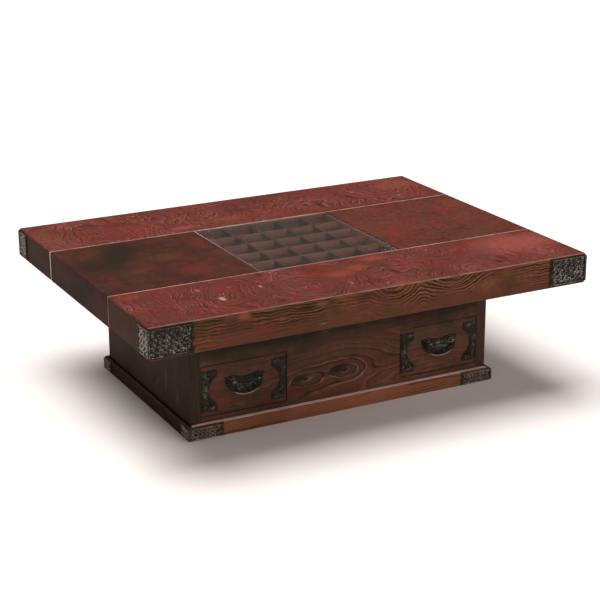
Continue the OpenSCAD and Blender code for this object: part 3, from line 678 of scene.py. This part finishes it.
def dress_case_front():
    """One figure over boards and both drawers, two dark eyes in the middle panel, painted shade under the
    top.
    """
    front = dict(
        axes="xz", shades=((0.044, 0.023, 0.014), (0.132, 0.057, 0.036), (0.255, 0.122, 0.090)),
        swirls=((-0.126, 0.102, 0.034, 0.012), (-0.012, 0.109, 0.034, 0.013),
                (-0.34, 0.070, 0.10, 0.016), (0.30, 0.060, 0.10, 0.014), (-0.1, 0.34, 0.30, 0.020)),
        bends=((4, 0.7), (20, 0.4), (70, 0.12)), stretch=(0.4, 1, 1), contrast=0.45, clouds=0.3,
        lines=(0.9, 0.35, 0.4), mottle=0.12, vivid=((-0.02, 0.100, 0.19, 0.055, 0.8),),
        tints=(((0.17, 0.030, 0.022), 20, 0.3), ((0.05, 0.036, 0.016), 16, 0.4)),
        # A dark band along the top of the front: painted shadow of the top's overhang
        blotches_and_painted_light=((0.0, 0.245, 1.6, 0.070, (0.014, 0.021, 0.011), 0.92),
                (-0.126, 0.102, 0.028, 0.013, OLIVE, 0.85),
                (-0.012, 0.109, 0.036, 0.018, OLIVE, 0.9),
                (-0.340, 0.084, 0.040, 0.016, (0.23, 0.042, 0.026), 0.6),
                (-0.190, 0.127, 0.030, 0.020, RUST, 0.45),
                (-0.144, 0.073, 0.040, 0.012, RUST, 0.45),
                (0.065, 0.114, 0.030, 0.020, RUST, 0.45),
                (0.310, 0.100, 0.070, 0.040, (0.16, 0.042, 0.016), 0.55),
                (0.183, 0.182, 0.020, 0.002, (0.26, 0.09, 0.03), 0.6)))
    dress(wood("front_wood", front=front), "upper_front_board", "lower_front_rail",
          "centre_front_panel", "left_drawer_front", "right_drawer_front")


def dress_plinth():
    """Front rails painted bright as lit, the ledge before the case a painted highlight, dark side rails."""
    top = dict(
        LYING_GRAIN, axes="xy", shades=((0.10, 0.040, 0.030), (0.17, 0.072, 0.056), (0.26, 0.11, 0.085)),
        swirls=((-0.2, -0.5, 0.2, 0.012),))
    # Painted light: the front rails far lighter than the sides
    front = dict(
        LYING_GRAIN, axes="xz",
        shades=((0.118, 0.046, 0.025), (0.330, 0.122, 0.066), (0.500, 0.185, 0.098)),
        swirls=((-0.2, 0.05, 0.12, 0.009), (0.25, -0.01, 0.14, 0.009)), contrast=0.8)
    side = dict(
        LYING_GRAIN, axes="yz",
        shades=((0.016, 0.010, 0.008), (0.034, 0.019, 0.014), (0.070, 0.038, 0.028)),
        swirls=((-0.2, 0.05, 0.12, 0.009),), stretch=(1, 0.4, 1), fibre=(420, 14, 420))
    front_y, top_z = PLINTH_LOW.y, PLINTH_HIGH.z
    # The ledge before the case: a painted highlight
    ledge = ((CASE_LEFT_X, front_y + 1.5 * MM, top_z - 0.6 * MM),
             (-CASE_LEFT_X, CASE_FRONT_Y + 0.5 * MM, top_z + 1.5 * MM), 0.95)
    irons = [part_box(f"plinth_iron_front_{end}") for end in ("left", "right")]
    # Painted shadow over the plinth's irons
    over_irons = [((low.x, front_y - 0.6 * MM, high.z - 1 * MM),
                   (high.x, front_y + 3 * MM, top_z + 0.2 * MM), 0.8, SHADOW) for low, high in irons]
    dress(wood("plinth_wood", top=top, front=front, highlight=(0.97, 0.71, 0.63), strips=(ledge, *over_irons)),
          "plinth_front", "plinth_rear")
    # A faint painted highlight along the top edge of the left end
    dress(wood("plinth_side_wood", side=side, edges=(("y", (PLINTH_LOW.x, top_z), 5 * MM, 0.12),)),
          "plinth_left", "plinth_right")


def dress_tray():
    """The walls and lattice under the glass, with painted light and shade: paler where they face the front.
    """
    dress(wood(
        "tray_wood", **DULL,
        top=dict(TRAY_GRAIN, axes="xy",
                 shades=((0.040, 0.020, 0.015), (0.070, 0.036, 0.028), (0.110, 0.058, 0.046))),
        front=dict(TRAY_GRAIN, axes="xz",
                   shades=((0.09, 0.042, 0.034), (0.20, 0.095, 0.078), (0.28, 0.140, 0.115))),
        side=dict(TRAY_GRAIN, axes="yz",
                  shades=((0.05, 0.031, 0.023), (0.10, 0.060, 0.045), (0.16, 0.10, 0.075)))),
        *named("tray"))
    dress(wood(
        "long_slat_wood", **DULL,
        top=dict(TRAY_GRAIN, axes="xy",
                 shades=((0.07, 0.032, 0.026), (0.11, 0.052, 0.043), (0.16, 0.080, 0.066))),
        front=dict(TRAY_GRAIN, axes="xz",
                   shades=((0.028, 0.014, 0.010), (0.065, 0.031, 0.024), (0.120, 0.058, 0.046)),
                   # A pale band along the top of the long slats' fronts: painted light
                   blotches_and_painted_light=((0.0, 0.362, 3.0, 0.020, (0.40, 0.165, 0.140), 0.90),))),
        "lattice_long_slats")
    dress(wood(
        "cross_slat_wood", **DULL,
        top=dict(TRAY_GRAIN, axes="xy",
                 shades=((0.020, 0.012, 0.010), (0.032, 0.020, 0.016), (0.050, 0.032, 0.026))),
        # The cross slats' left faces nearly black: painted shadow
        side=dict(TRAY_GRAIN, axes="yz",
                  shades=((0.003, 0.002, 0.001), (0.005, 0.003, 0.002), (0.010, 0.007, 0.005)))),
        "lattice_cross_slats")


def dress_inside():
    """Plain pale wood for the boards that don't show from outside."""
    grain = dict(shades=((0.24, 0.13, 0.065), (0.40, 0.26, 0.14), (0.52, 0.37, 0.22)),
                 swirls=((0.4, 0.9, 0.2, 0.010),), bends=((5, 1), (25, 0.3)), stretch=(0.4, 1, 1))
    dress(wood("inner_wood", gloss=0.4, coat=0.0, top=dict(grain, axes="xy"), front=dict(grain, axes="xz")),
          "case_bottom", "left_partition", "right_partition", "dust_board", "left_top_rail",
          "right_top_rail", "drawer_guides", "plinth_blocks",
          *(f"{side}_drawer_{piece}" for side in ("left", "right")
            for piece in ("outer_side", "inner_side", "back", "bottom")))


# Relief on the irons: scrolls, leaves and beads raised on a flat field, in millimetres
SCROLL_REACH = 2.25
SCROLL_SPAN = 2.0
SCROLL_HEIGHT = 0.95
LEAF_HEIGHT = 0.9
SMALL_LEAF_HEIGHT = 0.8
BEAD_HEIGHT = 0.9
KNOT_BEAD_HEIGHT = 1.0


def scroll_points(steps=44):
    """An S whose ends wind up in volutes, about 1 long, along U."""
    points, u, v = [Vector((0, 0))], 0.0, 0.0
    for i in range(steps):
        s = SCROLL_REACH * (i + 0.5) / steps
        turn = math.pi / 2 * s * s
        u += math.cos(turn) * SCROLL_REACH / steps
        v += math.sin(turn) * SCROLL_REACH / steps
        points.append(Vector((u, v)))
    whole = [-p for p in reversed(points[1:])] + points
    slant = Matrix.Rotation(math.radians(-45), 2)
    return [slant @ p / SCROLL_SPAN for p in whole]


SCROLL = scroll_points()

# Across a stroke: places from side to side, and shares of its height
SECTION = ((-1.0, -0.35), (-0.85, 0.45), (0.0, 1.0), (0.85, 0.45), (1.0, -0.35))
TIP_WIDTH = 0.35
TIP_HEIGHT = 0.6

# Up a bead: shares of its height and of its radius
BEAD_RINGS = ((-0.2, 1.0), (0.45, 0.86), (0.85, 0.5))


def hand_of(i):
    """Neighbouring scrolls wind opposite ways."""
    return 1 if i % 2 else -1


def on_arc(centre, radius, degrees):
    """A point on a circle, counted from straight below its centre."""
    turn = math.radians(degrees - 90)
    return Vector(centre) + Vector((math.cos(turn), math.sin(turn))) * radius


class Relief:
    """Raised work on flat faces, all in one mesh."""

    def __init__(self):
        self.mesh = bmesh.new()

    def face(self, origin, u, v, out):
        """Work on a face next: its low corner, its two sides' directions and its front's."""
        self.origin, self.u, self.v, self.out = origin, u, v, out

    def vert(self, u, v, height):
        return self.mesh.verts.new(self.origin + (self.u * u + self.v * v + self.out * height) * MM)

    def stroke(self, path, width, height, lift=0.0):
        """A raised stroke along points, tapering to its ends."""
        rows = []
        for i, p in enumerate(path):
            ahead = (path[min(i + 1, len(path) - 1)] - path[max(i - 1, 0)]).normalized()
            side = Vector((-ahead.y, ahead.x))
            swell = TIP_WIDTH + (1 - TIP_WIDTH) * math.sin(math.pi * i / (len(path) - 1)) ** 0.6
            half = width / 2 * swell
            rise = height * (TIP_HEIGHT + (1 - TIP_HEIGHT) * swell)
            rows.append([self.vert(*(p + side * a * half), lift + b * rise) for a, b in SECTION])
        for a, b in zip(rows, rows[1:]):
            for j in range(len(SECTION)):
                k = (j + 1) % len(SECTION)
                self.mesh.faces.new((a[j], a[k], b[k], b[j]))
        self.mesh.faces.new(rows[0])
        self.mesh.faces.new(rows[-1])

    def line(self, start, end, width, height, lift, steps=8):
        start, end = Vector(start), Vector(end)
        self.stroke([start.lerp(end, i / steps) for i in range(steps + 1)], width, height, lift)

    def scroll(self, centre, size, angle, hand, width):
        turn = Matrix.Rotation(math.radians(angle), 2)
        path = [turn @ Vector((p.x * size, p.y * size * hand)) + Vector(centre) for p in SCROLL]
        self.stroke(path, width, SCROLL_HEIGHT)

    def leaf(self, start, angle, length, width, height, curl, steps=6):
        """A short stroke that sets out at an angle and turns by its curl."""
        path, p, a = [Vector(start)], Vector(start), math.radians(angle)
        for _ in range(steps):
            a += math.radians(curl) / steps
            p = p + Vector((math.cos(a), math.sin(a))) * length / steps
            path.append(p)
        self.stroke(path, width, height)

    def bead(self, centre, radius, height, sides=8):
        rings = []
        for lift, share in BEAD_RINGS:
            turns = [2 * math.pi * i / sides for i in range(sides)]
            rings.append([self.vert(centre[0] + radius * share * math.cos(turn),
                                    centre[1] + radius * share * math.sin(turn),
                                    height * lift) for turn in turns])
        top = self.vert(*centre, height)
        for a, b in zip(rings, rings[1:]):
            for i in range(sides):
                k = (i + 1) % sides
                self.mesh.faces.new((a[i], a[k], b[k], b[i]))
        for i in range(sides):
            self.mesh.faces.new((rings[-1][i], rings[-1][(i + 1) % sides], top))
        self.mesh.faces.new(list(reversed(rings[0])))

    def knot(self, centre, size, angle, hand, draw):
        """One scroll with leaves in its bends and beads beside it, in shares of its size."""
        turn = Matrix.Rotation(math.radians(angle), 2)

        def at(u, v):
            return Vector(centre) + turn @ Vector((u * size, v * size))

        self.scroll(centre, size, angle, hand, size * 0.13)
        for way in (-1, 1):
            bent = way * hand
            self.leaf(at(way * 0.04, -bent * 0.10), angle - bent * 75 + draw.uniform(-12, 12),
                      size * 0.36, size * 0.15, LEAF_HEIGHT, 55 * hand)
            self.leaf(at(way * 0.20, bent * 0.20), angle + bent * 40,
                      size * 0.28, size * 0.13, SMALL_LEAF_HEIGHT, -50 * hand)
            self.bead(at(way * 0.40, -bent * 0.22), size * 0.075, KNOT_BEAD_HEIGHT)

    def rows(self, low, high, count, draw):
        """Rows of knots between two corners, which lie and stand in turn."""
        tall = (high[1] - low[1]) / count
        across = max(1, round((high[0] - low[0]) / (tall * 1.1)))
        pitch = (high[0] - low[0]) / across
        size = min(pitch, tall) * 1.12
        for row in range(count):
            for i in range(across):
                centre = (low[0] + pitch * (i + 0.5), low[1] + tall * (row + 0.5))
                lie = 90 if (row + i) % 2 and count > 1 else 0
                self.knot(centre, size, lie + draw.uniform(-15, 15), hand_of(row + i), draw)

    def finish(self, name, body, material):
        bmesh.ops.recalc_face_normals(self.mesh, faces=self.mesh.faces)
        for face in self.mesh.faces:
            face.smooth = True
        data = bpy.data.meshes.new(name)
        self.mesh.to_mesh(data)
        self.mesh.free()
        piece = bpy.data.objects.new(name, data)
        bpy.context.scene.collection.objects.link(piece)
        data.materials.append(material)
        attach(piece, body)


# A corner iron: its sheet, the depth and rim of its sunk fields, its scalloped end, how far the
# knots stay off the rim, and the raised lines on the rim and up the corner
IRON_T = 2.5
IRON_DEEP = 1.0
IRON_RIM = 3.0
SCALLOP = 4.0
FIELD_OUT = IRON_T - IRON_DEEP
KNOTS_IN = 1.0
KNOTS_END_IN = 0.5
KNOTS_UP = 0.8
RIM_LINE = dict(width=1.7, height=0.35, lift=IRON_DEEP)
RIM_LINE_IN = 1.2
CORNER_LINE_IN = 0.3
CORNER_LINE_UP = 0.5


def corner_relief(name, sx, sy, count, draw, material):
    """Rows of scrollwork on both wings of one corner iron, on its sunk fields, and a raised rim."""
    low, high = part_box(name)
    tall = (high.z - low.z) / MM
    x = low.x + IRON_T * MM if sx < 0 else high.x - IRON_T * MM
    y = low.y + IRON_T * MM if sy < 0 else high.y - IRON_T * MM
    inward_x, inward_y = Vector((-sx, 0, 0)), Vector((0, -sy, 0))
    up = Vector((0, 0, 1))
    relief = Relief()
    for along, out, length in (
            (inward_x, -inward_y, (high.x - low.x) / MM - IRON_T),
            (inward_y, -inward_x, (high.y - low.y) / MM - IRON_T)):
        relief.face(Vector((x, y, low.z)) + out * FIELD_OUT * MM, along, up, out)
        relief.rows((IRON_RIM + KNOTS_IN, IRON_RIM + KNOTS_UP),
                    (length - IRON_RIM - SCALLOP - KNOTS_END_IN, tall - IRON_RIM - KNOTS_UP), count, draw)
        for level in (RIM_LINE_IN, tall - RIM_LINE_IN):
            relief.line((-IRON_DEEP, level), (length - 1, level), **RIM_LINE)
        relief.line((CORNER_LINE_IN, CORNER_LINE_UP), (CORNER_LINE_IN, tall - CORNER_LINE_UP), **RIM_LINE)
    relief.finish(f"{name}_relief", "root", material)


# A bracket: the knots up its column, and where each tip has its knot, its bead and its leaf's root
BRACKET_KNOTS = 7
BRACKET_KNOT_SIZE = 15.5
BRACKET_COLUMN = 8.8
TIP_KNOT = (24.5, 6.8)
TIP_KNOT_SIZE = 15.0
TIP_BEAD = (35.0, 4.2)
TIP_LEAF = (17.5, 15.8)


def bracket_relief(side, draw, material):
    """A column of knots up each bracket of one drawer, with a knot, a bead and a leaf in each tip."""
    low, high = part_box(f"{side}_drawer_brackets")
    tall = (high.z - low.z) / MM
    front, up = Vector((0, -1, 0)), Vector((0, 0, 1))
    relief = Relief()
    for x, inward in ((low.x, 1), (high.x, -1)):
        relief.face(Vector((x, low.y, low.z)), Vector((inward, 0, 0)), up, front)
        for i in range(BRACKET_KNOTS):
            centre = (BRACKET_COLUMN, tall * (i + 0.5) / BRACKET_KNOTS)
            relief.knot(centre, BRACKET_KNOT_SIZE, 90 + draw.uniform(-25, 25), hand_of(i), draw)
        for end, way in ((0, 1), (tall, -1)):
            knot, bead, root = ((u, end + way * v) for u, v in (TIP_KNOT, TIP_BEAD, TIP_LEAF))
            relief.knot(knot, TIP_KNOT_SIZE, 20 * way, way, draw)
            relief.bead(bead, 2.2, 1.1, 10)
            relief.leaf(root, 90 * way, 14, 2.0, SMALL_LEAF_HEIGHT, 30 * way)
    relief.finish(f"{side}_bracket_relief", f"{side}_drawer", material)


# A handle plate, from the middle between its posts: the arcs of its crescent and of its lower
# edge, each a centre, a radius and a step in degrees, the knots' sizes and the rings round the posts
CRESCENT_CENTRE, CRESCENT_RADIUS, CRESCENT_STEP = (0, 28), 44, 17
CRESCENT_KNOT_SIZE = 17
OUTER_KNOT_SIZE = 8.5
UPPER_KNOT_SIZE = 9.0
UPPER_KNOT_STEP = 10
EDGE_CENTRE, EDGE_RADIUS, EDGE_STEP = (0, 16), 50.4, 5.2
EDGE_BEADS = 27
POST_OUT = 34
POST_RING = 10.6
POST_BEADS = 9


def plate_relief(side, draw, material):
    """Knots along the crescent of one handle plate, and beads along its edge and round its posts."""
    low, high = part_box(f"{side}_handle_plate")
    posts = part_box(f"{side}_handle_posts")
    relief = Relief()
    middle = Vector(((low.x + high.x) / 2, low.y, (posts[0].z + posts[1].z) / 2))
    relief.face(middle, Vector((1, 0, 0)), Vector((0, 0, 1)), Vector((0, -1, 0)))
    for i in range(-2, 3):
        lean = i * CRESCENT_STEP
        u, v = on_arc(CRESCENT_CENTRE, CRESCENT_RADIUS, lean)
        relief.knot((u, v), CRESCENT_KNOT_SIZE - abs(i), lean + draw.uniform(-10, 10), hand_of(i), draw)
        relief.knot((u * 1.22, v - 10.5), OUTER_KNOT_SIZE, lean + 90, -hand_of(i), draw)
    for i in range(-2, 3):
        centre = (i * UPPER_KNOT_STEP, -2 + abs(i) * 0.5)
        relief.knot(centre, UPPER_KNOT_SIZE, draw.uniform(-20, 20), hand_of(i), draw)
    for i in range(EDGE_BEADS):
        lean = (i - (EDGE_BEADS - 1) / 2) * EDGE_STEP
        relief.bead(on_arc(EDGE_CENTRE, EDGE_RADIUS, lean), 1.35, BEAD_HEIGHT)
    for post in (-POST_OUT, POST_OUT):
        for i in range(POST_BEADS):
            turn = 90 + 360 * (i + 0.5) / POST_BEADS
            relief.bead(on_arc((post, 0), POST_RING, turn), 1.4, BEAD_HEIGHT)
    relief.finish(f"{side}_plate_relief", f"{side}_drawer", material)


def dress_irons():
    """Dark irons, with relief rubbed brighter, most of all on the corners, whose ends are painted lighter.
    """
    dress(iron("cast_iron", (0.028, 0.026, 0.022), (0.13, 0.12, 0.10)), "iron_nails", *named("slab_iron"))
    # The plinth's irons painted lighter than the top's: painted light
    dress(iron("low_cast_iron", (0.100, 0.082, 0.070), (0.30, 0.26, 0.22)), *named("plinth_iron"))
    dress(iron("front_cast_iron", (0.040, 0.037, 0.032), (0.16, 0.15, 0.13)),
          *named("bracket"), *named("handle_plate"))
    # Bails: bright low on the outer side, rubbed by hands and a painted highlight
    dress(iron("bail_iron", (0.055, 0.053, 0.046), (0.72, 0.70, 0.62), rub=0.2, roughness=0.32,
               bright_places=bail_bright_places), *named("bail"))
    # On the corner irons the end wings are painted brighter: painted highlight
    raised = iron("rubbed_iron", (0.076, 0.070, 0.061), (0.47, 0.45, 0.41), rub=0.50, roughness=0.34,
                  ends=1.2)
    # The right-hand irons' relief painted lighter: painted light
    right_raised_painted_lighter = iron("right_rubbed_iron_painted_lighter", (0.120, 0.113, 0.102), (0.60, 0.58, 0.54), rub=0.50,
                        roughness=0.34, ends=0.6)
    # The plinth irons' relief painted lighter too: painted light
    low_raised = iron("low_rubbed_iron", (0.310, 0.270, 0.230), (0.72, 0.65, 0.57), rub=0.50)
    dark_raised = iron("dark_rubbed_iron", (0.095, 0.096, 0.082), (0.56, 0.58, 0.50), rub=0.40)
    dress(raised, *named("handle_posts"))

    draw = random.Random(7)
    for part, count, left, right in (("slab", 4, raised, right_raised_painted_lighter),
                                     ("plinth", 2, low_raised, low_raised)):
        for end, sx, metal in (("left", -1, left), ("right", 1, right)):
            for face, sy in (("front", -1), ("rear", 1)):
                corner_relief(f"{part}_iron_{face}_{end}", sx, sy, count, draw, metal)
    for side in ("left", "right"):
        bracket_relief(side, draw, dark_raised)
        plate_relief(side, draw, dark_raised)


# The studio: half the floor's side, and the colours of light
FLOOR_HALF = 30
WHITE = (1.0, 1.0, 1.0)
WARM = (1.0, 0.96, 0.92)
ROOM = (0.075, 0.064, 0.058)


def stage():
    """A plain pale floor, which reflections see darker than the camera does."""
    mesh = bpy.data.meshes.new("floor")
    build = bmesh.new()
    bmesh.ops.create_grid(build, x_segments=8, y_segments=8, size=FLOOR_HALF)
    build.to_mesh(mesh)
    build.free()
    floor = bpy.data.objects.new("floor", mesh)
    bpy.context.scene.collection.objects.link(floor)
    g = Graph("floor_paper")
    paper = g.mix(g.noise(g.point(), 3), (0.80, 0.770, 0.755), (0.83, 0.800, 0.785))
    mesh.materials.append(g.finish(g.principled(
        Base_Color=g.mix(g.ray("Is Glossy Ray"), paper, (0.34, 0.290, 0.265)),
        Roughness=0.9,
        Specular_IOR_Level=0.0)))


def sun(name, direction, strength, spread, tint=WARM):
    """A soft lamp far away, seen from the table in the given direction; spread is in degrees."""
    data = bpy.data.lights.new(name, "SUN")
    data.energy = strength
    data.angle = math.radians(spread)
    data.color = tint
    lamp = bpy.data.objects.new(name, data)
    lamp.rotation_mode = "QUATERNION"
    lamp.rotation_quaternion = Vector(direction).to_track_quat("Z", "Y")
    bpy.context.scene.collection.objects.link(lamp)


def studio():
    """A dim room round the table, which the camera sees as white, and four soft lamps."""
    world = bpy.data.worlds.new("studio")
    world.use_nodes = True
    nodes, links = world.node_tree.nodes, world.node_tree.links
    seen = nodes.new("ShaderNodeMix")
    seen.data_type = "RGBA"
    seen.inputs[6].default_value = colour(ROOM)
    seen.inputs[7].default_value = colour(WHITE)
    links.new(nodes.new("ShaderNodeLightPath").outputs["Is Camera Ray"], seen.inputs[0])
    links.new(seen.outputs[2], nodes["Background"].inputs[0])
    bpy.context.scene.world = world
    bpy.context.scene.view_settings.view_transform = "Standard"
    sun("overhead", (-0.17, 0.22, 1.0), strength=4.08, spread=46, tint=(1.0, 0.975, 0.95))
    sun("front", (0.42, -0.76, 0.68), strength=0.76, spread=36)
    sun("side", (-0.85, 0.40, 0.30), strength=0.46, spread=60)
    sun("right", (0.93, -0.12, 0.42), strength=0.52, spread=30)


make_camera()
stage()
studio()
dress_front_plank()
dress_rear_plank()
dress_band()
dress_case_sides()
dress_case_back()
dress_case_front()
dress_plinth()
dress_tray()
dress_inside()
dress(glass("pane_glass"), "glass_pane")
dress(steel("screw_steel"), "top_screws")
dress_irons()
